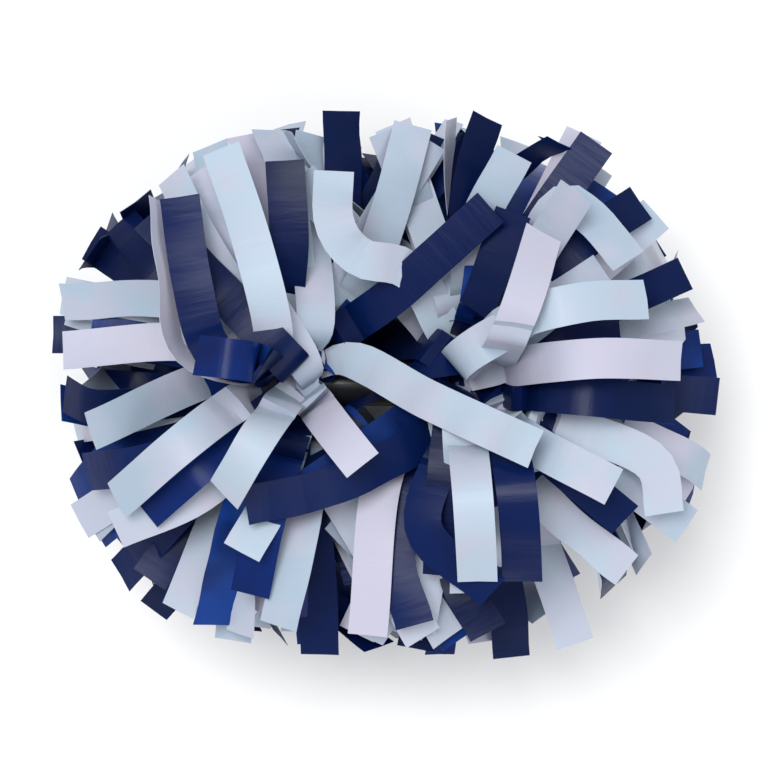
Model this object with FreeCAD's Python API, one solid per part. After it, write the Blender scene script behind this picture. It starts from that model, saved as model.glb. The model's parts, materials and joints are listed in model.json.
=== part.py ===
"""Hand-held cheer pom pom: a short baton with a bunch of film streamers tied on each end.

Frame: millimetres, +Z up, the baton lies along X, and the floor is at z = 0 with the
origin under the middle of the baton. "left" is -X, "right" is +X and "front" is -Y.
The pom lies on the floor, so it is a little lower than it is deep.

Each half of the pom is a pack of plastic film sheets, slit into streamers from both
edges. The un-slit band in the middle of the pack is wound round the baton, taped and
tied, so half of the streamers fan out past the baton's end and half fan back over the
grip. Streamers that leave the band at the same place move together as one tuft.
"""
import FreeCAD, Part
import math
import os

# The whole pom
HALF_LENGTH = 166.0
HALF_WIDTH = 137.5
HALF_HEIGHT = 113.0
AXIS_HEIGHT = 108.0

# Baton and its fittings
TUBE_RADIUS = 11.0
TUBE_BORE = 9.0
TUBE_HALF = 57.0
CAP_FLANGE_RADIUS = 13.0
CAP_FLANGE = 3.0
CAP_PLUG = 10.0
CAP_PLUG_BORE = 6.5
CAP_EDGE = 0.8
COLLAR_RADIUS = 16.5
COLLAR_WIDTH = 3.5
COLLAR_EDGE = 0.8

# Wound sheets and what holds them
BAND_CENTRE = 47.0
BAND_WIDTH = 12.0
BAND_LAYER = 0.7
BAND_COLOURS = ("white", "blue", "white", "blue")
TAPE_WIDTH = 10.0
TAPE_THICKNESS = 0.5
TIE_WIDTH = 4.8
TIE_THICKNESS = 1.3
TIE_HEAD_LENGTH = 8.0
TIE_HEAD_WIDTH = 7.0
TIE_HEAD_HEIGHT = 5.0
TIE_TAIL_LENGTH = 7.0
TIE_TAIL_HEIGHT = 1.6

# Tufts: where they bend, and the angles that they fill, measured from the baton's end
ROOT_RADIUS = 14.0
ROOT_OFFSET = BAND_WIDTH / 2
ROOT_LENGTH = 9.0
TUFTS_IN_RING = 6
INNER_ANGLES = (73.0, 101.5)
OUTER_ANGLES = (27.0, 61.0)
INNER_GAP = 8.0
OUTER_GAP = 12.0
END_ANGLE = 19.0
END_ROOT_RADIUS = 5.0
END_ROOT_CLEARANCE = 4.0
REACH = 260.0

SIDES = {"left": -1, "right": 1}
INNER_PLACES = ("top", "upper_front", "lower_front", "bottom", "lower_back", "upper_back")
OUTER_PLACES = ("top_front", "front", "bottom_front", "bottom_back", "back", "top_back")
OUTER_TURN = 30.0

ORIGIN = FreeCAD.Vector(0, 0, 0)
AXIS_POINT = FreeCAD.Vector(0, 0, AXIS_HEIGHT)
ALONG = FreeCAD.Vector(1, 0, 0)
UP = FreeCAD.Vector(0, 0, 1)


def save(node, shape):
    """Write one sub-part to its own STEP file."""
    shape.exportStep(os.path.join("parts", node + ".step"))


def ring(x_low, x_high, inner, outer):
    """A plain ring round the baton's axis, between two stations."""
    start = FreeCAD.Vector(x_low, 0, AXIS_HEIGHT)
    body = Part.makeCylinder(outer, x_high - x_low, start, ALONG)
    return body.cut(Part.makeCylinder(inner, x_high - x_low, start, ALONG))


def turned(points):
    """Revolve an outline of (distance along the axis, radius) points about the baton."""
    corners = [FreeCAD.Vector(x, 0, AXIS_HEIGHT + r) for x, r in points]
    outline = Part.Face(Part.makePolygon(corners + corners[:1]))
    return outline.revolve(AXIS_POINT, ALONG, 360)


def mirrored(points, side):
    """The same outline on the left (-1) or the right (+1) end."""
    return [(side * x, r) for x, r in points]


def baton_tube():
    return ring(-TUBE_HALF, TUBE_HALF, TUBE_BORE, TUBE_RADIUS)


def end_cap(side):
    """A flanged plug pressed into the tube's end; the flange keeps the sheets on."""
    face = TUBE_HALF + CAP_FLANGE
    outline = [
        (TUBE_HALF - CAP_PLUG, CAP_PLUG_BORE),
        (TUBE_HALF - CAP_PLUG, TUBE_BORE),
        (TUBE_HALF, TUBE_BORE),
        (TUBE_HALF, CAP_FLANGE_RADIUS),
        (face - CAP_EDGE, CAP_FLANGE_RADIUS),
        (face, CAP_FLANGE_RADIUS - CAP_EDGE),
        (face, 0),
        (face - CAP_FLANGE, 0),
        (face - CAP_FLANGE, CAP_PLUG_BORE),
    ]
    return turned(mirrored(outline, side))


def stop_collar(side):
    """The ring that keeps the wound sheets off the grip."""
    outer_face = BAND_CENTRE - BAND_WIDTH / 2
    inner_face = outer_face - COLLAR_WIDTH
    outline = [
        (outer_face, TUBE_RADIUS),
        (outer_face, COLLAR_RADIUS - COLLAR_EDGE),
        (outer_face - COLLAR_EDGE, COLLAR_RADIUS),
        (inner_face + COLLAR_EDGE, COLLAR_RADIUS),
        (inner_face, COLLAR_RADIUS - COLLAR_EDGE),
        (inner_face, TUBE_RADIUS),
    ]
    return turned(mirrored(outline, side))


def centred_ring(side, width, inner, outer):
    """A ring round the middle of one half's wound sheets."""
    middle = side * BAND_CENTRE
    return ring(middle - width / 2, middle + width / 2, inner, outer)


def sheet_band(side, layer):
    """The un-slit middle of the sheets of one colour, wound round the baton."""
    inner = TUBE_RADIUS + layer * BAND_LAYER
    return centred_ring(side, BAND_WIDTH, inner, inner + BAND_LAYER)


def band_radius():
    """The outside of the wound sheets."""
    return TUBE_RADIUS + len(BAND_COLOURS) * BAND_LAYER


def binding_tape(side):
    return centred_ring(side, TAPE_WIDTH, band_radius(), band_radius() + TAPE_THICKNESS)


def cable_tie(side):
    """The tie's strap, its head and its trimmed tail, moulded in one piece."""
    inner = band_radius() + TAPE_THICKNESS
    strap = centred_ring(side, TIE_WIDTH, inner, inner + TIE_THICKNESS)
    sunk = TIE_THICKNESS / 2
    base = AXIS_HEIGHT + math.sqrt((inner + sunk) ** 2 - (TIE_HEAD_LENGTH / 2) ** 2)
    head_corner = FreeCAD.Vector(
        side * BAND_CENTRE - TIE_HEAD_WIDTH / 2, -TIE_HEAD_LENGTH / 2, base)
    head = Part.makeBox(TIE_HEAD_WIDTH, TIE_HEAD_LENGTH, TIE_HEAD_HEIGHT, head_corner)
    bore = Part.makeCylinder(inner, TIE_HEAD_WIDTH,
                             FreeCAD.Vector(head_corner.x, 0, AXIS_HEIGHT), ALONG)
    tail_corner = FreeCAD.Vector(
        side * BAND_CENTRE - TIE_WIDTH / 2, TIE_HEAD_LENGTH / 2,
        base + TIE_HEAD_HEIGHT / 2)
    tail = Part.makeBox(TIE_WIDTH, TIE_TAIL_LENGTH, TIE_TAIL_HEIGHT, tail_corner)
    return strap.fuse([head.cut(bore), tail]).removeSplitter()


def envelope():
    """The rounded outside of the whole pom, flattened where it rests on the floor."""
    ball = Part.makeSphere(1.0, ORIGIN, ALONG)
    stretch = FreeCAD.Matrix()
    stretch.scale(HALF_LENGTH, HALF_WIDTH, HALF_HEIGHT)
    body = ball.transformGeometry(stretch)
    body.translate(AXIS_POINT)
    floor_corner = FreeCAD.Vector(-REACH, -REACH, 0)
    return body.common(Part.makeBox(2 * REACH, 2 * REACH, 2 * REACH, floor_corner))


def ring_tuft(whole, side, offset, angles, gap, turn):
    """One tuft of a ring: a four-sided wedge that widens from the band to the outside.

    turn is the tuft's place round the baton, from the top towards the front.
    """
    outward = FreeCAD.Vector(side, 0, 0)
    away = FreeCAD.Vector(0, -math.sin(turn), math.cos(turn))
    across = outward.cross(away)
    half_sector = math.pi / TUFTS_IN_RING
    root = AXIS_POINT + outward * (BAND_CENTRE + offset)

    def corner(angle, distance, hand):
        along = distance * math.cos(math.radians(angle))
        radius = ROOT_RADIUS + distance * math.sin(math.radians(angle))
        half = radius * math.tan(half_sector) - gap / 2 / math.cos(half_sector)
        return root + outward * along + away * radius + across * (hand * half)

    low, high = angles
    loop = [(low, ROOT_LENGTH), (high, ROOT_LENGTH), (high, REACH), (low, REACH)]
    one = [corner(a, d, -1) for a, d in loop]
    other = [corner(a, d, 1) for a, d in loop]
    faces = [one, other]
    for i in range(len(loop)):
        j = (i + 1) % len(loop)
        faces.append([one[i], one[j], other[j], other[i]])
    shell = Part.Shell([Part.Face(Part.makePolygon(f + f[:1])) for f in faces])
    return whole.common(Part.Solid(shell))


def end_tuft(whole, side):
    """The tuft that points along the baton, past its end cap."""
    start = TUBE_HALF + CAP_FLANGE + END_ROOT_CLEARANCE
    length = REACH - start
    wide = END_ROOT_RADIUS + length * math.tan(math.radians(END_ANGLE))
    base = FreeCAD.Vector(side * start, 0, AXIS_HEIGHT)
    cone = Part.makeCone(END_ROOT_RADIUS, wide, length, base, ALONG * side)
    return whole.common(cone)


def build():
    os.makedirs("parts", exist_ok=True)
    whole = envelope()
    save("baton_tube", baton_tube())
    for name, side in SIDES.items():
        save(name + "_end_cap", end_cap(side))
        save(name + "_stop_collar", stop_collar(side))
        for layer, colour in enumerate(BAND_COLOURS):
            save(f"{name}_{colour}_sheet_band_{layer // 2 + 1}", sheet_band(side, layer))
        save(name + "_binding_tape", binding_tape(side))
        save(name + "_cable_tie", cable_tie(side))
        save(name + "_end_tuft", end_tuft(whole, side))
        for i in range(TUFTS_IN_RING):
            turn = 2 * math.pi * i / TUFTS_IN_RING
            inner = ring_tuft(whole, side, -ROOT_OFFSET, INNER_ANGLES, INNER_GAP, turn)
            save(f"{name}_inner_tuft_{INNER_PLACES[i]}", inner)
            turn += math.radians(OUTER_TURN)
            outer = ring_tuft(whole, side, ROOT_OFFSET, OUTER_ANGLES, OUTER_GAP, turn)
            save(f"{name}_outer_tuft_{OUTER_PLACES[i]}", outer)


build()
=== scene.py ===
"""Cheer pom pom: film streamers, hidden fittings, materials, light and camera.

Metres, in the CAD model's frame. The baton lies along X, the streamers grow from the
two wound bands on it, and the pom lies on the floor at z = 0.
"""
from collections import Counter
import json
import math

import bpy
import numpy as np
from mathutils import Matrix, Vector
from mathutils.bvhtree import BVHTree

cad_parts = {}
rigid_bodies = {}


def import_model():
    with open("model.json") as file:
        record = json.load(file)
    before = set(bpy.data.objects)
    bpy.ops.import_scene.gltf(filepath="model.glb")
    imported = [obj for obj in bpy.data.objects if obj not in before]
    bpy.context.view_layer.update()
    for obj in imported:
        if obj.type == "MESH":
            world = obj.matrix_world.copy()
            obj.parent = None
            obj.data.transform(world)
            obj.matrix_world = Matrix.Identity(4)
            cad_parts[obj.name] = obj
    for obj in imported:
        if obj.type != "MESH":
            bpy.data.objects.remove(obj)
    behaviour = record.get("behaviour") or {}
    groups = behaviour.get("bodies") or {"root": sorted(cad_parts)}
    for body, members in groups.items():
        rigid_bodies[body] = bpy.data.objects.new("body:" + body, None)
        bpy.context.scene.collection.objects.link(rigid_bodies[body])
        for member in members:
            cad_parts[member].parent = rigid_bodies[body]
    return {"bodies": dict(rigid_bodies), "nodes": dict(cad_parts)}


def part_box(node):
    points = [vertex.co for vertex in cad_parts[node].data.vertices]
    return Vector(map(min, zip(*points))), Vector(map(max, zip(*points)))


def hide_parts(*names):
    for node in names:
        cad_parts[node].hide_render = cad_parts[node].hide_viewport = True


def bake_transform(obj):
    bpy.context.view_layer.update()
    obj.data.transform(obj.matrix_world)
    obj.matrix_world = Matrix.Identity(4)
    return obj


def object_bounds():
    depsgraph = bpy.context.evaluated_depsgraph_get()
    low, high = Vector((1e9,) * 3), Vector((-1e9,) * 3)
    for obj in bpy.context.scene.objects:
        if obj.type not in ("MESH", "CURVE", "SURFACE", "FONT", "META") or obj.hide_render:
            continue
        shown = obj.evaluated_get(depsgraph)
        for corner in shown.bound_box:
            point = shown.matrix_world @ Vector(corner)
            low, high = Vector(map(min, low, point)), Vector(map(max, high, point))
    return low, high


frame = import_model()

MM = 0.001
cad_low, cad_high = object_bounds()
rng = np.random.default_rng(35)

# Places read from the frame
tube_low, tube_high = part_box("baton_tube")
tape_low, tape_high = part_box("right_binding_tape")
band_low, band_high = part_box("right_white_sheet_band_1")
AXIS = np.array([0.0, 0.0, (tube_low[2] + tube_high[2]) / 2])
BAND_X = (tape_low[0] + tape_high[0]) / 2
BAND_HALF = (band_high[0] - band_low[0]) / 2
BAND_RADIUS = (tape_high[2] - tape_low[2]) / 2
HALF_LENGTH = cad_high[0]
HALF_WIDTH = cad_high[1]
HALF_HEIGHT = cad_high[2] - AXIS[2]
UNDER_HEIGHT = 1.25 * HALF_HEIGHT
SQUARENESS = 2.4

# The film: its size, the points along it, how narrow it is gathered at the band and how
# far, how much its edges wave and its middle cups, and its least height over the floor
LENGTH = 146 * MM
WIDTH = 19 * MM
THICKNESS = 0.25 * MM
STATIONS = 26
GATHER = 0.45
GATHER_END = 42 * MM
ROOT_ZONE = 15 * MM
FLUTTER = 0.5 * MM
CUP = 0.5 * MM
FLOOR_FILM = 0.4 * MM

# Where streamers leave the band: how far round it (radians) and how deep in it (mm)
ROOT_SPREAD = 0.15
ROOT_DEPTHS = (-1.5, 2.0)

# Each tuft's streamers: how many, and the angles that they fill from the baton's end
RINGS = (("inner", 70, 110, 16), ("outer", 24, 68, 14))
END_COUNT = 12
END_ANGLES = (4, 24)
GOLDEN = 0.618
GOLDEN_ANGLE = 2.4

# The hollow in the middle of the top, between the two bunches
PIT_MIDDLE = np.array([-12.0, 32.0]) * MM
PIT_SIZE = np.array([30.0, 22.0]) * MM
PIT_DEPTH = 55 * MM

# The studio
FLOOR_HALF = 6.0
VIEW_WIDTH = 0.385

SIDES = {"left": -1, "right": 1}
INNER = ("top", "upper_front", "lower_front", "bottom", "lower_back", "upper_back")
OUTER = ("top_front", "front", "bottom_front", "bottom_back", "back", "top_back")
SECTOR = 2 * math.pi / len(INNER)
COLOURS = ("white", "blue")

# Streamers placed one by one, upper ones first: side, ring, place, colour, the height of the
# tip as a part of the dome's height there, the tilt in degrees, and then the points in mm,
# seen from above and measured from the baton's middle, that lead to its tip
PLACED = (
    ("left", "inner", "top", "white", 0.86, 4, (-17, 12), (22, -8), (72, -31)),
    ("right", "outer", "top_front", "white", 0.92, 4, (62, -27), (107, -49)),
    ("left", "inner", "upper_back", "blue", 0.70, -8, (-4, 39), (22, 60), (50, 84)),
    ("left", "inner", "top", "white", 0.80, 10, (-47, -7), (-75, -52)),
    ("left", "inner", "top", "white", 0.78, -8, (-35, -8), (-13, -38)),
    ("right", "inner", "top", "white", 0.9, 4, (14, 52), (-10, 62), (-22, 78), (-23, 100)),
    ("left", "inner", "upper_back", "white", 0.6, 8, (-14, 45), (2, 84), (14, 124)),
    ("left", "inner", "upper_back", "blue", 0.6, 0, (-23, 84), (-22, 134)),
    ("left", "outer", "top_back", "white", 0.75, -6, (-54, 32), (-65, 74), (-79, 114)),
    ("left", "inner", "upper_back", "blue", 0.75, 6, (-46, 37), (-46, 72), (-47, 108)),
    ("left", "outer", "top_back", "white", 0.9, 66, (-95, 13), (-103, 50), (-108, 88)),
    ("left", "outer", "top_back", "blue", 0.8, 4, (-82, 15), (-92, 50), (-97, 90)),
    ("left", "outer", "back", "white", 0.8, -30, (-84, 64), (-104, 104)),
    ("left", "outer", "top_back", "blue", 0.95, 8, (-61, 10), (-88, 14)),
    ("left", "outer", "top_front", "white", 0.9, -10, (-80, 4), (-138, -22)),
    ("left", "outer", "top_front", "white", 0.85, 14, (-74, -8), (-128, -54)),
    ("left", "outer", "top_front", "blue", 0.75, 10, (-70, -26), (-114, -60)),
    ("left", "outer", "top_back", "white", 0.8, -18, (-96, 36), (-156, 40)),
    ("left", "outer", "top_back", "white", 0.7, 14, (-96, 20), (-155, 17)),
    ("left", "end", "tip", "blue", 0.4, 20, (-120, 24), (-164, 23)),
    ("right", "inner", "upper_front", "blue", 0.85, -8, (4, -34), (-28, -48), (-64, -56)),
    ("right", "outer", "top_back", "white", 0.85, -8, (58, 28), (92, 38), (124, 40)),
    ("right", "outer", "top_back", "white", 0.85, 10, (60, 8), (100, 12), (142, 11)),
    ("right", "outer", "top_back", "blue", 0.6, 0, (64, 18), (112, 25)),
    ("right", "outer", "top_back", "white", 0.85, 8, (64, 34), (76, 72)),
    ("right", "outer", "top_back", "white", 0.9, -10, (70, 50), (90, 90)),
    ("right", "outer", "back", "white", 0.85, -14, (82, 82), (98, 80), (115, 58)),
    ("right", "outer", "back", "blue", 0.8, 10, (88, 62), (124, 86)),
    ("right", "inner", "upper_back", "blue", 0.6, -14, (44, 32), (62, 84)),
    ("right", "inner", "upper_back", "white", 0.8, 20, (46, 72), (62, 112)),
    ("right", "inner", "upper_back", "blue", 0.8, 30, (40, 92), (51, 129)),
    ("right", "outer", "top_front", "white", 0.85, -12, (84, -19), (128, -38), (136, -64)),
    ("right", "outer", "top_front", "blue", 0.7, 0, (62, -4), (138, -10)),
    ("right", "end", "tip", "blue", 0.5, 0, (120, -4), (166, -4)),
    ("right", "outer", "back", "blue", 0.8, -20, (112, 40), (146, 52)),
    ("right", "outer", "top_front", "blue", 0.75, 12, (80, -34), (117, -66)),
    ("right", "outer", "front", "white", 0.8, -16, (70, -48), (117, -90)),
    ("right", "inner", "upper_front", "white", 0.75, 0, (42, -27), (43, -94)),
    ("right", "outer", "top_front", "blue", 0.75, 8, (65, -40), (66, -95)),
    ("right", "inner", "upper_front", "blue", 0.8, 24, (20, -66), (50, -98)),
    ("right", "inner", "upper_front", "white", 0.8, -8, (2, -38), (-8, -121)),
    ("left", "inner", "upper_front", "white", 0.85, 16, (-36, -58), (-52, -115)),
    ("left", "inner", "upper_front", "white", 0.9, 10, (-52, -52), (-68, -78)),
    ("left", "inner", "lower_front", "blue", 0.5, 0, (-33, -92), (-32, -135)),
    ("right", "inner", "lower_front", "blue", 0.5, -6, (60, -98), (64, -137)),
    ("right", "inner", "upper_front", "blue", 0.7, 10, (38, -86), (52, -120)),
    ("right", "outer", "front", "white", 0.6, 24, (84, -92), (96, -130)),
    ("right", "inner", "upper_front", "blue", 0.8, 0, (8, -74), (14, -114)),
    ("left", "outer", "front", "white", 0.85, -12, (-88, -50), (-129, -68)),
    ("left", "outer", "front", "blue", 0.6, 16, (-104, -66), (-132, -96)),
    ("left", "outer", "front", "white", 0.8, 28, (-80, -60), (-102, -110)),
    ("left", "outer", "front", "blue", 0.7, -22, (-72, -64), (-86, -118)),
    ("left", "inner", "upper_front", "white", 0.7, 34, (-66, -72), (-72, -120)),
    ("left", "outer", "bottom_front", "blue", 0.4, -8, (-90, -62), (-115, -96)),
    ("left", "inner", "upper_front", "blue", 0.8, 10, (-56, -62), (-62, -100)),
)
VARIANTS = 100

# How a placed streamer arches: search limits, the part of the dome's height that it may
# fill, the part of its way that takes the waves, their height, and its first line points,
# which the dome doesn't limit
LARGEST = 130 * MM
HALVINGS = 16
UNDER_DOME = 0.97
WAVE_PART = 0.3
WAVE_HEIGHT = 25 * MM
NEAR_ROOT = 8

# How far the variants of a placed streamer differ
POINT_SHIFT = 1.2 * MM
LIFT_SHIFT = 0.05
TILT_SHIFT = 7
PASS_COST = 0.5

# Film tones and painted light: each streamer takes one place on its colour's ramp and drifts to a
# tinted colour along its length
# Both ramps run from painted shade to painted highlight, from shaded streamers to lit ones, as well
# as holding differing tone
WHITE_TONES_AND_PAINTED_LIGHT = ((0.0, (0.32, 0.40, 0.49)), (0.35, (0.38, 0.47, 0.57)), (0.65, (0.43, 0.52, 0.61)),
               (0.85, (0.42, 0.47, 0.58)), (1.0, (0.47, 0.46, 0.57)))
# White drifts to lilac: a painted reflection of blue light off the blue film and shining through the
# white
WHITE_PAINTED_REFLECTION_TINT = (0.47, 0.45, 0.55)
BLUE_TONES_AND_PAINTED_LIGHT = ((0.0, (0.001, 0.006, 0.036)), (0.5, (0.001, 0.010, 0.068)),
              (0.8, (0.003, 0.020, 0.14)), (1.0, (0.008, 0.048, 0.25)))
# Blue drifts to a darker blue: painted shade along the streamer
BLUE_PAINTED_SHADE_TINT = (0.004, 0.010, 0.062)

# How the loose streamers are chosen: what each fault costs, how many shapes are tried for
# one streamer, how many of those are tested for cuts, and the rounds of shifting
OUTSIDE_COST = 150
SHORT_COST = 40
FLOOR_COST = 2.0
CUT_COST = 4.0
CUT_AT_ROOT = 0.4
CUT_AT_TIP = 1.2
HIDE_COST = 4.0
# A white streamer's cost for each point in the hollow, which leaves the hollow to blue film as
# painted shade
PIT_PAINTED_SHADE_COST = 1.5
TRIES = 200
TESTED = 40
ROUNDS = 5
OUTSIDE = 0.98
SHORT = 0.91
FLOOR_GAP = 1 * MM

# How the loose streamers vary: shares of all, and angles
SPREAD = math.radians(9)
STRAIGHT_SHARE = 0.55
WILD_SHARE = 0.14
FOLDED_SHARE = 0.15
ROLL = 46


def unit(v):
    return v / np.maximum(np.linalg.norm(v, axis=-1, keepdims=True), 1e-9)


def turned(v, axis, angle):
    """Rows of v turned about rows of axis by each row's angle."""
    c = np.cos(angle)[:, None]
    s = np.sin(angle)[:, None]
    along = (v * axis).sum(1, keepdims=True)
    return v * c + np.cross(axis, v) * s + axis * along * (1 - c)


def step(x, low, high):
    t = np.clip((x - low) / (high - low), 0, 1)
    return t * t * (3 - 2 * t)


def grow(start, out, flop, bend, twist, length):
    """Walk each strip from its root: bend turns it about its width, twist about itself."""
    across = unit(np.cross(out, flop))
    heading = turned(unit(out), across, bend[:, 0])
    point = np.repeat(start[None], len(out), 0)
    points = [point.copy()]
    widths = [across.copy()]
    pace = length / (STATIONS - 1)
    for i in range(1, STATIONS):
        half = (bend[:, i] - bend[:, i - 1]) / 2
        heading = turned(heading, across, half)
        point = point + heading * pace
        heading = unit(turned(heading, across, half))
        across = unit(turned(across, heading, twist[:, i] - twist[:, i - 1]))
        points.append(point.copy())
        widths.append(across.copy())
    return np.stack(points, 1), np.stack(widths, 1)


def width_along():
    s = np.linspace(0, LENGTH, STATIONS)
    return WIDTH * (GATHER + (1 - GATHER) * step(s, 0, GATHER_END))


HALF_WIDTHS = width_along() / 2


def swell(points):
    """How far out each point is: 1 on the outside, a little squarer than an ellipsoid."""
    off = np.abs(points - AXIS)
    tall = np.where(points[..., 2] < AXIS[2], UNDER_HEIGHT, HALF_HEIGHT)
    scale = np.stack([np.full_like(tall, HALF_LENGTH), np.full_like(tall, HALF_WIDTH), tall], -1)
    return ((off / scale) ** SQUARENESS).sum(-1) ** (1 / SQUARENESS)


def dome(flat):
    """The height of the rounded outside above the axis, over points seen from above."""
    sides = np.abs(flat / np.array([HALF_LENGTH, HALF_WIDTH])) ** SQUARENESS
    return HALF_HEIGHT * np.maximum(1 - sides.sum(-1), 0) ** (1 / SQUARENESS)


class Heap:
    """The streamers that are in place, for finding what another one would cut.

    The first stations aren't tested: there all streamers are packed at the band."""

    FIRST = 5

    def __init__(self):
        self.ribbons = []
        self.tree = None

    def ribbon(self, points, widths):
        """A streamer's edges without its crowded first stretch, as quads in rows of two corners."""
        left = points - widths * HALF_WIDTHS[:, None]
        right = points + widths * HALF_WIDTHS[:, None]
        return np.stack([left, right], 1)[self.FIRST:].reshape(-1, 3).tolist()

    def plant(self, ribbons):
        """A search tree of the faces of some ribbons."""
        corners = []
        faces = []
        for ribbon in ribbons:
            shift = len(corners)
            corners += ribbon
            faces += [(i, i + 1, i + 3, i + 2) for i in range(shift, shift + len(ribbon) - 2, 2)]
        return BVHTree.FromPolygons(corners, faces)

    def cuts(self, points, widths):
        """How much a streamer would cut; a cut near its tip, where it shows, counts for more."""
        if self.tree is None:
            return 0
        pairs = self.plant([self.ribbon(points, widths)]).overlap(self.tree)
        return sum(CUT_AT_ROOT + CUT_AT_TIP * own / STATIONS for own, other in pairs)

    def add(self, points, widths):
        self.ribbons.append(self.ribbon(points, widths))
        self.tree = self.plant(self.ribbons)

    def leave_out(self, index):
        """Test against all streamers but this one from here on."""
        self.tree = self.plant(self.ribbons[:index] + self.ribbons[index + 1:])


class Cover:
    """A map, seen from above, of how high other streamers may pass over the placed ones."""

    CELL = 6 * MM
    COUNT = 64
    FREE = 1.0
    GAP = 1.5 * MM

    def __init__(self):
        self.top = np.full((self.COUNT, self.COUNT), self.FREE)

    def cells(self, points):
        index = np.floor(points[..., :2] / self.CELL).astype(int) + self.COUNT // 2
        index = np.clip(index, 0, self.COUNT - 1)
        return index[..., 0], index[..., 1]

    def passed(self, points, widths):
        """For each streamer, how many of its points lie above what should be seen."""
        total = 0
        for across in (-1, 0, 1):
            row = points + widths * HALF_WIDTHS[:, None] * across
            total = total + (row[..., 2] > self.top[self.cells(row)]).sum(-1)
        return total

    def protect(self, points, widths, first):
        """Keep what shows of a placed streamer free, from its given station on."""
        for across in (-1, -0.5, 0, 0.5, 1):
            row = (points + widths * HALF_WIDTHS[:, None] * across)[first:]
            x, y = self.cells(row)
            free = self.top[x, y] == self.FREE
            self.top[x[free], y[free]] = row[free, 2] - self.GAP

    def open_pit(self):
        """Keep streamers low in the hollow between the bunches."""
        middles = (np.arange(self.COUNT) - self.COUNT // 2 + 0.5) * self.CELL
        x, y = np.meshgrid(middles, middles, indexing="ij")
        inside = ((x - PIT_MIDDLE[0]) / PIT_SIZE[0]) ** 2 + ((y - PIT_MIDDLE[1]) / PIT_SIZE[1]) ** 2
        spot = (inside < 1) & (self.top == self.FREE)
        self.top[spot] = AXIS[2] + PIT_DEPTH


heap = Heap()
cover = Cover()
strips = []


def smooth_line(corners, count=160):
    """A smooth line through the corners."""
    padded = np.vstack([2 * corners[0] - corners[1], corners, 2 * corners[-1] - corners[-2]])
    t = np.linspace(0, len(corners) - 1 - 1e-6, count)
    i = t.astype(int)
    f = (t - i)[:, None]
    a, b, c, d = padded[i], padded[i + 1], padded[i + 2], padded[i + 3]
    return 0.5 * (2 * b + (c - a) * f + (2 * a - 5 * b + 4 * c - d) * f ** 2
                  + (3 * b - a - 3 * c + d) * f ** 3)


def travelled(points):
    """How far along the line each of its points is."""
    return np.concatenate([[0], np.cumsum(np.linalg.norm(np.diff(points, axis=0), axis=1))])


def most(test):
    """The largest amount, up to LARGEST, that the test allows, found by halving."""
    low, high = 0.0, LARGEST
    for _ in range(HALVINGS):
        middle = (low + high) / 2
        if test(middle):
            low = middle
        else:
            high = middle
    return low


def arch(start, corners, lift, peak, tilt, rise):
    """One streamer over a line seen from above. Its film goes into an arch, rise times as
    high as it could be, and what is left into waves near its root."""
    flat = smooth_line(np.vstack([start[:2], corners]))
    u = travelled(flat)
    u = u / u[-1]
    limit = AXIS[2] + UNDER_DOME * dome(flat)
    tip = AXIS[2] + lift * dome(flat[-1:])[0]
    base = start[2] + (tip - start[2]) * u
    bump = np.sin(np.pi * u ** peak)
    waves = np.sin(4 * np.pi * u / WAVE_PART) * (u < WAVE_PART)

    def line(height, wave):
        return np.column_stack([flat, base + bump * height + waves * wave])

    def fits(height):
        points = line(height, 0)
        under = points[:, 2] < limit + 1e-6
        return travelled(points)[-1] < LENGTH and under[NEAR_ROOT:].all()

    height = most(fits) * rise
    wave = most(lambda w: w < WAVE_HEIGHT and travelled(line(height, w))[-1] < LENGTH)
    points = line(height, wave)
    way = travelled(points)
    stations = np.linspace(0, min(way[-1], LENGTH), STATIONS)
    points = np.column_stack([np.interp(stations, way, points[:, k]) for k in range(3)])
    heading = unit(np.gradient(points, axis=0))
    widths = unit(np.column_stack([-heading[:, 1], heading[:, 0], np.zeros(STATIONS)]))
    s = np.linspace(0, 1, STATIONS)
    return points, turned(widths, heading, math.radians(tilt) * step(s, 0.05, 0.5))


def place(name, ring, spot, colour, lift, tilt, *corners):
    """Put one listed streamer in, in the variant that cuts and hides the least."""
    side = SIDES[name]
    corners = np.array(corners) * MM
    if ring == "end":
        tuft = f"{name}_end_tuft"
        phi = 0.0
    else:
        tuft = f"{name}_{ring}_tuft_{spot}"
        phi = SECTOR * (INNER.index(spot) if ring == "inner" else OUTER.index(spot) + 0.5)
    best = None
    for k in range(VARIANTS):
        start = root(side, ring, phi)
        shift = rng.normal(0, POINT_SHIFT if k else 0, corners.shape)
        points, widths = arch(start, corners + shift, lift + rng.normal(0, LIFT_SHIFT),
                              rng.uniform(0.5, 0.9), tilt + rng.normal(0, TILT_SHIFT),
                              rng.uniform(0.3, 1) if k % 2 else 1)
        cost = heap.cuts(points, widths) + PASS_COST * cover.passed(points, widths)
        if best is None or cost < best[0]:
            best = (cost, points, widths)
    _, points, widths = best
    heap.add(points, widths)
    first = int(np.argmin(np.linalg.norm(points[:, :2] - corners[0], axis=1)))
    cover.protect(points, widths, first)
    strips.append({"tuft": tuft, "colour": colour, "points": points, "widths": widths})


def direction(side, theta, phi):
    """The way out at angle theta from the baton's end and phi round it from the top."""
    return np.stack([side * np.cos(theta), -np.sin(theta) * np.sin(phi),
                     np.sin(theta) * np.cos(phi)], -1)


def lean(out):
    """Where strips that leave along out end up pointing: they fall open, away from the top."""
    count = len(out)
    flat = out * np.array([1, 1, 0]) + rng.normal(0, 0.12, (count, 3)) * np.array([1, 1, 0])
    flat = unit(flat)
    up = np.degrees(np.arcsin(out[:, 2]))
    rise = np.where(up > 0, rng.normal(12, 15, count), up * 0.5 + rng.normal(-6, 12, count))
    rise = np.radians(rise)
    return flat * np.cos(rise)[:, None] + np.array([0, 0, 1]) * np.sin(rise)[:, None]


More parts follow.
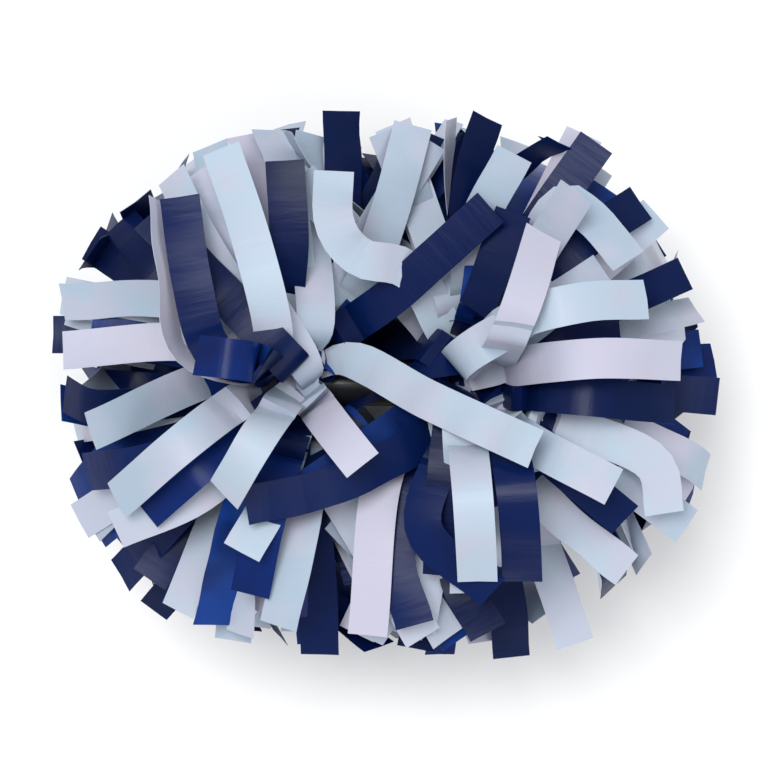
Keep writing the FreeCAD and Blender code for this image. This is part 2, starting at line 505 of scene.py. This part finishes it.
def candidates(side, theta, phi):
    """Random shapes for one streamer: where it sets out, and its bends and twists."""
    theta = theta + rng.normal(0, SPREAD, TRIES)
    phi = phi + rng.normal(0, SPREAD, TRIES)
    out = direction(side, theta, phi)
    kind = rng.random((TRIES, 1))
    straight = (kind < STRAIGHT_SHARE) & (abs(out[:, 2:] + 0.05) < 0.6)
    wild = kind > 1 - WILD_SHARE
    tip = np.where(straight, out, lean(out))
    full = np.arccos(np.clip((out * tip).sum(1, keepdims=True), -1, 1))
    loose = unit(rng.normal(0, 1, (TRIES, 3)))
    flop = tip + loose * (rng.uniform(0.02, 0.3, (TRIES, 1)) + wild * 0.9)
    s = np.linspace(0, 1, STATIONS)[None]
    bend = slack(s) + sweep(s, full, wild) + curl(s) + fold(s)
    roll = np.radians(rng.normal(0, ROLL, (TRIES, 1)))
    twist = roll * step(s, 0.05, rng.uniform(0.4, 1.0, (TRIES, 1)))
    return out, flop, bend, twist


def slack(s):
    """A kink one way and back near the root, where the film is gathered."""
    zig = np.radians(rng.uniform(15, 85, (TRIES, 1))) * np.sign(rng.normal(0, 1, (TRIES, 1)))
    return zig * (2 * step(s, 0.08, 0.2) - step(s, 0.24, 0.38) - 1)


def sweep(s, full, wild):
    """The bend from the way out to the way that the tip points."""
    first = rng.uniform(0.03, 0.4, (TRIES, 1))
    last = first + rng.uniform(0.2, 0.5, (TRIES, 1))
    turn = full * rng.uniform(0.75, 1.1, (TRIES, 1)) + wild * rng.uniform(0, 1.2, (TRIES, 1))
    return turn * step(s, first, last)


def curl(s):
    """A soft curl towards the tip."""
    first = rng.uniform(0.4, 0.8, (TRIES, 1))
    return np.radians(rng.normal(3, 20, (TRIES, 1))) * step(s, first, 1.05)


def fold(s):
    """A crease across the film, on some of the streamers."""
    first = rng.uniform(0.45, 0.85, (TRIES, 1))
    folded = rng.random((TRIES, 1)) < FOLDED_SHARE
    turn = np.radians(rng.uniform(20, 70, (TRIES, 1))) * folded
    turn = turn * np.sign(rng.normal(0, 1, (TRIES, 1)))
    return turn * step(s, first, first + 0.06)


def root(side, ring, phi):
    """Where a strip leaves the band."""
    turn = phi + rng.normal(0, ROOT_SPREAD)
    radius = BAND_RADIUS + rng.uniform(*ROOT_DEPTHS) * MM
    x = side * (BAND_X + (BAND_HALF if ring != "inner" else -BAND_HALF))
    return AXIS + np.array([x, -radius * math.sin(turn), radius * math.cos(turn)])


def in_pit(points):
    """Which points lie in the hollow between the bunches, where the photograph is dark."""
    inside = (((points[..., :2] - PIT_MIDDLE) / PIT_SIZE) ** 2).sum(-1) < 1
    return inside & (points[..., 2] > AXIS[2] - 20 * MM)


def misfit(points, widths, colour):
    """How badly shapes leave the rounded outside, the floor or the view of placed streamers."""
    left = points - widths * HALF_WIDTHS[:, None]
    right = points + widths * HALF_WIDTHS[:, None]
    edge = np.maximum(swell(left), swell(right))
    low = np.minimum(left[..., 2], right[..., 2])
    cost = OUTSIDE_COST * np.maximum(edge - OUTSIDE, 0).sum(-1)
    cost += FLOOR_COST * np.maximum(FLOOR_GAP - low, 0).sum(-1) / MM
    cost += SHORT_COST * np.maximum(SHORT - edge[..., -1], 0)
    cost += HIDE_COST * cover.passed(points, widths)
    # White film costs more in the hollow, so blue film fills it: its dark colour stands in for the
    # shade that falls there
    if colour == "white":
        cost += PIT_PAINTED_SHADE_COST * in_pit(points).sum(-1)
    return cost


def nearby(shape):
    """Small changes to one shape: its direction, its bends and its twist."""
    out, flop, bend, twist = (np.repeat(part[None], TRIES, 0) for part in shape)
    s = np.linspace(0, 1, STATIONS)[None]
    size = rng.uniform(0.2, 1.0, (TRIES, 1))
    out = unit(out + size * rng.normal(0, 0.16, (TRIES, 3)))
    flop = flop + size * rng.normal(0, 0.2, (TRIES, 3))
    for turning, amount in ((bend, 0.35), (bend, 0.35), (twist, 0.5)):
        low = rng.uniform(0.03, 0.8, (TRIES, 1))
        high = low + rng.uniform(0.1, 0.4, (TRIES, 1))
        turning += size * rng.normal(0, amount, (TRIES, 1)) * step(s, low, high)
    return out, flop, bend, twist


def best_shape(start, shapes, colour):
    """Of many shapes for one streamer, the one that cuts least and fits best."""
    points, widths = grow(start, *shapes, LENGTH)
    cost = misfit(points, widths, colour)
    best = None
    for k in np.argsort(cost)[:TESTED]:
        if best is not None and cost[k] >= best["cost"]:
            break
        total = cost[k] + CUT_COST * heap.cuts(points[k], widths[k])
        if best is None or total < best["cost"]:
            best = {"cost": total, "points": points[k], "widths": widths[k], "start": start,
                    "shape": [part[k] for part in shapes]}
    return best


def lay(side, ring, tuft, theta, phi, colour):
    strip = best_shape(root(side, ring, phi), candidates(side, theta, phi), colour)
    heap.add(strip["points"], strip["widths"])
    strip.update(tuft=tuft, colour=colour)
    strips.append(strip)


def lay_again():
    """Shift each streamer that cuts another, now that all are in place."""
    for index, strip in enumerate(strips):
        if "shape" not in strip:
            continue
        heap.leave_out(index)
        cut = heap.cuts(strip["points"], strip["widths"])
        if cut == 0:
            continue
        old = misfit(strip["points"], strip["widths"], strip["colour"]) + CUT_COST * cut
        better = best_shape(strip["start"], nearby(strip["shape"]), strip["colour"])
        if better["cost"] < old:
            strip.update(better)
            heap.ribbons[index] = heap.ribbon(strip["points"], strip["widths"])


def plan():
    """Every strip's tuft, direction and colour, in a shuffled order."""
    jobs = []
    taken = Counter((strip["tuft"], strip["colour"]) for strip in strips)
    for name, side in SIDES.items():
        for i in range(len(INNER)):
            for ring, low, high, count in RINGS:
                spot = INNER[i] if ring == "inner" else OUTER[i]
                turn = SECTOR * (i + (0.5 if ring == "outer" else 0))
                tuft = f"{name}_{ring}_tuft_{spot}"
                colours = [COLOURS[k % 2] for k in range(count)]
                rng.shuffle(colours)
                for k in range(count):
                    if taken[tuft, colours[k]] > 0:
                        taken[tuft, colours[k]] -= 1
                        continue
                    theta = math.radians(low + (high - low) * (k + 0.5) / count)
                    golden = (k * GOLDEN + 0.31 * i) % 1.0
                    phi = turn + SECTOR * (golden - 0.5)
                    jobs.append((side, ring, tuft, theta, phi, colours[k]))
        tuft = f"{name}_end_tuft"
        for k in range(END_COUNT):
            colour = COLOURS[k % 2]
            if taken[tuft, colour] > 0:
                taken[tuft, colour] -= 1
                continue
            low, high = END_ANGLES
            theta = math.radians(low + (high - low) * (k + 0.5) / END_COUNT)
            jobs.append((side, "end", tuft, theta, k * GOLDEN_ANGLE, colour))
    rng.shuffle(jobs)
    return jobs


def flutter():
    """How far the left edge, middle and right edge wave out of the film's plane."""
    s = np.linspace(0, LENGTH, STATIONS)
    edges = []
    for _ in range(2):
        pitch = rng.uniform(26, 60) * MM
        edges.append(rng.normal(0, FLUTTER) * np.sin(2 * math.pi * (s / pitch + rng.random())))
    growth = step(s, ROOT_ZONE, GATHER_END)
    return edges[0] * growth, (edges[0] + edges[1]) / 2 * growth, edges[1] * growth


def ribbon_mesh(strip):
    """Corner points, quads and film coordinates of one closed, thin strip."""
    points = strip["points"]
    widths = strip["widths"]
    heading = unit(np.gradient(points, axis=0))
    face = unit(np.cross(heading, widths))
    cup = rng.normal(0, CUP)
    corners = []
    film = []
    for c, wave in zip((-1, 0, 1), flutter()):
        row = points + widths * HALF_WIDTHS[:, None] * c
        row = row + face * (wave[:, None] + cup * (1 - c * c))
        for sign in (1, -1):
            corners.append(row + face * THICKNESS / 2 * sign)
            film.append(np.stack([np.full(STATIONS, (c + 1) / 2),
                                  np.linspace(0, LENGTH / WIDTH, STATIONS)], 1))
    corners = np.stack(corners, 1).reshape(-1, 3)
    film = np.stack(film, 1).reshape(-1, 2)
    lowest = FLOOR_FILM + np.tile([THICKNESS, 0] * 3, STATIONS)
    corners[:, 2] = np.maximum(corners[:, 2], lowest)
    quads = []
    for i in range(STATIONS - 1):
        a = 6 * i
        b = a + 6
        quads += [(a, a + 2, b + 2, b), (a + 2, a + 4, b + 4, b + 2)]
        quads += [(a + 1, b + 1, b + 3, a + 3), (a + 3, b + 3, b + 5, a + 5)]
        quads += [(a, b, b + 1, a + 1), (a + 4, a + 5, b + 5, b + 4)]
    end = 6 * (STATIONS - 1)
    quads += [(0, 1, 3, 2), (2, 3, 5, 4)]
    quads += [(end, end + 2, end + 3, end + 1), (end + 2, end + 4, end + 5, end + 3)]
    return corners, quads, film


def bunch(tuft, colour, material):
    """One piece: a tuft's strips of one colour."""
    corners, quads, film = [], [], []
    total = 0
    for strip in strips:
        if strip["tuft"] != tuft or strip["colour"] != colour:
            continue
        c, q, f = ribbon_mesh(strip)
        corners.append(c)
        film.append(f)
        quads += [tuple(i + total for i in quad) for quad in q]
        total += len(c)
    name = tuft.replace("tuft_", "").replace("_tuft", "")
    mesh = bpy.data.meshes.new(f"{name}_{colour}_streamers")
    corners = np.concatenate(corners)
    film = np.concatenate(film)
    mesh.from_pydata(corners.tolist(), [], quads)
    layer = mesh.uv_layers.new(name="film")
    index = np.zeros(len(mesh.loops), int)
    mesh.loops.foreach_get("vertex_index", index)
    layer.data.foreach_set("uv", film[index].ravel())
    mesh.polygons.foreach_set("use_smooth", [True] * len(mesh.polygons))
    mesh.set_sharp_from_angle(angle=math.radians(35))
    mesh.materials.append(material)
    piece = bpy.data.objects.new(mesh.name, mesh)
    bpy.context.collection.objects.link(piece)
    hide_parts(tuft)
    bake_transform(piece)
    return piece


def add_node(tree, kind, **settings):
    """A new node with its sockets set: Detail=3 sets the input named Detail."""
    node = tree.nodes.new("ShaderNode" + kind)
    for socket, value in settings.items():
        node.inputs[socket.replace("_", " ")].default_value = value
    return node


def colour_ramp(tree, stops):
    ramp = tree.nodes.new("ShaderNodeValToRGB")
    elements = ramp.color_ramp.elements
    while len(elements) < len(stops):
        elements.new(0.5)
    for element, (position, colour) in zip(elements, stops):
        element.position = position
        element.color = (*colour, 1)
    return ramp


def new_material(name, gloss):
    material = bpy.data.materials.new(name)
    material.use_nodes = True
    shader = material.node_tree.nodes["Principled BSDF"]
    shader.inputs["Specular IOR Level"].default_value = gloss
    return material, material.node_tree, shader


def finish_surface(tree, shader, fac, rough_low, rough_high, strength, distance):
    """Roughness and bump from one texture."""
    spread = add_node(tree, "MapRange", To_Min=rough_low, To_Max=rough_high)
    tree.links.new(fac, spread.inputs["Value"])
    tree.links.new(spread.outputs["Result"], shader.inputs["Roughness"])
    bump = add_node(tree, "Bump", Strength=strength, Distance=distance)
    tree.links.new(fac, bump.inputs["Height"])
    tree.links.new(bump.outputs["Normal"], shader.inputs["Normal"])


def film_material(name, stops, painted_light_tint, rough, gloss):
    """Film whose tone, partly painted light and shade, differs from streamer to streamer, drifts
    along it with painted highlight and shade, and ripples across it.
    """
    material, tree, shader = new_material(name, gloss)
    links = tree.links
    island = add_node(tree, "NewGeometry")
    # Each streamer's place on the ramp gives its tone together with painted light: darker for a
    # shaded streamer, lighter for a lit one
    base = colour_ramp(tree, stops)
    links.new(island.outputs["Random Per Island"], base.inputs["Fac"])
    coords = tree.nodes.new("ShaderNodeUVMap")
    coords.uv_map = "film"
    offset = add_node(tree, "Math")
    offset.operation = "MULTIPLY"
    offset.inputs[1].default_value = 40
    links.new(island.outputs["Random Per Island"], offset.inputs[0])
    moved = add_node(tree, "VectorMath")
    links.new(coords.outputs["UV"], moved.inputs[0])
    links.new(offset.outputs["Value"], moved.inputs[1])
    # Painted highlight and shade along the streamer: noise mixes its colour towards the tinted
    # colour of painted light
    painted_light_drift = add_node(tree, "TexNoise", Scale=0.6, Detail=2.0)
    links.new(moved.outputs["Vector"], painted_light_drift.inputs["Vector"])
    amount = add_node(tree, "MapRange", From_Min=0.4, From_Max=0.68, To_Max=0.8)
    links.new(painted_light_drift.outputs["Fac"], amount.inputs["Value"])
    painted_light_mix = tree.nodes.new("ShaderNodeMix")
    painted_light_mix.data_type = "RGBA"
    painted_light_mix.inputs[7].default_value = (*painted_light_tint, 1)
    links.new(amount.outputs["Result"], painted_light_mix.inputs[0])
    links.new(base.outputs["Color"], painted_light_mix.inputs[6])
    links.new(painted_light_mix.outputs[2], shader.inputs["Base Color"])
    stretch = add_node(tree, "Mapping", Scale=(0.5, 3.2, 1.0))
    links.new(moved.outputs["Vector"], stretch.inputs["Vector"])
    ripples = add_node(tree, "TexNoise", Scale=1.1, Detail=4.0, Roughness=0.55)
    links.new(stretch.outputs["Vector"], ripples.inputs["Vector"])
    finish_surface(tree, shader, ripples.outputs["Fac"], rough - 0.08, rough + 0.14, 0.22, 0.0012)
    return material


def moulded_material(name, dark, light, rough, gloss, grain, depth):
    """Moulded plastic: an even colour with slight clouding and a grain of the given size."""
    material, tree, shader = new_material(name, gloss)
    coords = tree.nodes.new("ShaderNodeTexCoord")
    clouds = add_node(tree, "TexNoise", Scale=90.0, Detail=3.0)
    tree.links.new(coords.outputs["Object"], clouds.inputs["Vector"])
    tone = colour_ramp(tree, [(0.35, dark), (0.7, light)])
    tree.links.new(clouds.outputs["Fac"], tone.inputs["Fac"])
    tree.links.new(tone.outputs["Color"], shader.inputs["Base Color"])
    pores = add_node(tree, "TexNoise", Scale=1 / grain, Detail=2.0)
    tree.links.new(coords.outputs["Object"], pores.inputs["Vector"])
    finish_surface(tree, shader, pores.outputs["Fac"], rough - 0.06, rough + 0.1, 0.3, depth)
    return material


def ribbed_material(name, dark, light, rough, gloss, pitch, wobble, depth):
    """Ribs that run round the baton: the edges of wound film or tape, or the teeth of a tie, with
    painted shade in the grooves between them.
    """
    material, tree, shader = new_material(name, gloss)
    coords = tree.nodes.new("ShaderNodeTexCoord")
    ribs_and_painted_groove_shade = add_node(tree, "TexWave", Scale=0.314 / pitch, Distortion=wobble, Detail=2.0)
    ribs_and_painted_groove_shade.bands_direction = "X"
    tree.links.new(coords.outputs["Object"], ribs_and_painted_groove_shade.inputs["Vector"])
    # The ramp darkens where the bump sinks: painted shade in the grooves of the ribbing
    tone = colour_ramp(tree, [(0.1, dark), (0.8, light)])
    tree.links.new(ribs_and_painted_groove_shade.outputs["Fac"], tone.inputs["Fac"])
    tree.links.new(tone.outputs["Color"], shader.inputs["Base Color"])
    finish_surface(tree, shader, ribs_and_painted_groove_shade.outputs["Fac"], rough - 0.05, rough + 0.1, 0.4, depth)
    return material


def paint_hardware():
    """The baton and its fittings keep their CAD shapes and get their plastics here."""
    looks = {
        "baton_tube": moulded_material("baton_plastic", (0.012, 0.013, 0.016), (0.022, 0.023, 0.027),
                                       0.3, 0.5, 0.9 * MM, 0.05 * MM),
        "end_cap": moulded_material("cap_plastic", (0.014, 0.014, 0.017), (0.03, 0.03, 0.034),
                                    0.5, 0.4, 0.35 * MM, 0.08 * MM),
        "binding_tape": ribbed_material("binding_tape", (0.50, 0.53, 0.58), (0.62, 0.66, 0.71),
                                        0.4, 0.4, 2.4 * MM, 1.6, 0.12 * MM),
        "cable_tie": ribbed_material("tie_nylon", (0.55, 0.55, 0.50), (0.68, 0.68, 0.63),
                                     0.4, 0.4, 1.1 * MM, 0.0, 0.15 * MM),
        "white_sheet": ribbed_material("wound_white_film", (0.46, 0.54, 0.62), (0.56, 0.65, 0.74),
                                       0.4, 0.3, 1.3 * MM, 2.5, 0.1 * MM),
        "blue_sheet": ribbed_material("wound_blue_film", (0.003, 0.012, 0.07), (0.006, 0.025, 0.15),
                                      0.35, 0.2, 1.3 * MM, 2.5, 0.1 * MM)}
    looks["stop_collar"] = looks["end_cap"]
    for name, node in frame["nodes"].items():
        for word, look in looks.items():
            if word in name:
                for slot in node.material_slots:
                    slot.material = look


def pale_floor():
    r = FLOOR_HALF
    mesh = bpy.data.meshes.new("floor")
    mesh.from_pydata([(-r, -r, 0), (r, -r, 0), (r, r, 0), (-r, r, 0)], [], [(0, 1, 2, 3)])
    floor = bpy.data.objects.new("floor", mesh)
    bpy.context.collection.objects.link(floor)
    paint = bpy.data.materials.new("floor_paint")
    paint.use_nodes = True
    shader = paint.node_tree.nodes["Principled BSDF"]
    shader.inputs["Base Color"].default_value = (0.9, 0.9, 0.9, 1)
    shader.inputs["Roughness"].default_value = 0.8
    mesh.materials.append(paint)


def soft_light():
    """An even, pale surrounding and two large lamps, the stronger one from the back left."""
    world = bpy.data.worlds.new("studio")
    bpy.context.scene.world = world
    world.use_nodes = True
    background = world.node_tree.nodes["Background"]
    background.inputs["Color"].default_value = (0.97, 0.98, 1, 1)
    background.inputs["Strength"].default_value = 0.68
    for name, place, size, energy in (
            ("key", (-0.7, 0.8, 3.2), 1.5, 72), ("fill", (1.8, -1.6, 2.4), 2.2, 28)):
        data = bpy.data.lights.new(name, "AREA")
        data.size = size
        data.energy = energy
        lamp = bpy.data.objects.new(name, data)
        lamp.location = place
        lamp.rotation_mode = "QUATERNION"
        lamp.rotation_quaternion = Vector(AXIS - np.array(place)).to_track_quat("-Z", "Y")
        bpy.context.collection.objects.link(lamp)


def overhead_camera():
    """A long lens that looks straight down, as in the photograph."""
    data = bpy.data.cameras.new("camera")
    data.lens = 120
    camera = bpy.data.objects.new("camera", data)
    camera.location = (0, 0, AXIS[2] + VIEW_WIDTH * data.lens / data.sensor_width)
    bpy.context.collection.objects.link(camera)
    bpy.context.scene.camera = camera
    bpy.context.scene.view_settings.view_transform = "Standard"


pale_floor()
soft_light()
overhead_camera()
for row in PLACED:
    place(*row)
cover.open_pit()
for job in plan():
    lay(*job)
for _ in range(ROUNDS):
    lay_again()
films = {"white": film_material("white_film", WHITE_TONES_AND_PAINTED_LIGHT, WHITE_PAINTED_REFLECTION_TINT, 0.42, 0.25),
         "blue": film_material("blue_film", BLUE_TONES_AND_PAINTED_LIGHT, BLUE_PAINTED_SHADE_TINT, 0.28, 0.12)}
paint_hardware()
for body in frame["bodies"]:
    if "tuft" in body:
        for colour in COLOURS:
            bunch(body, colour, films[colour])
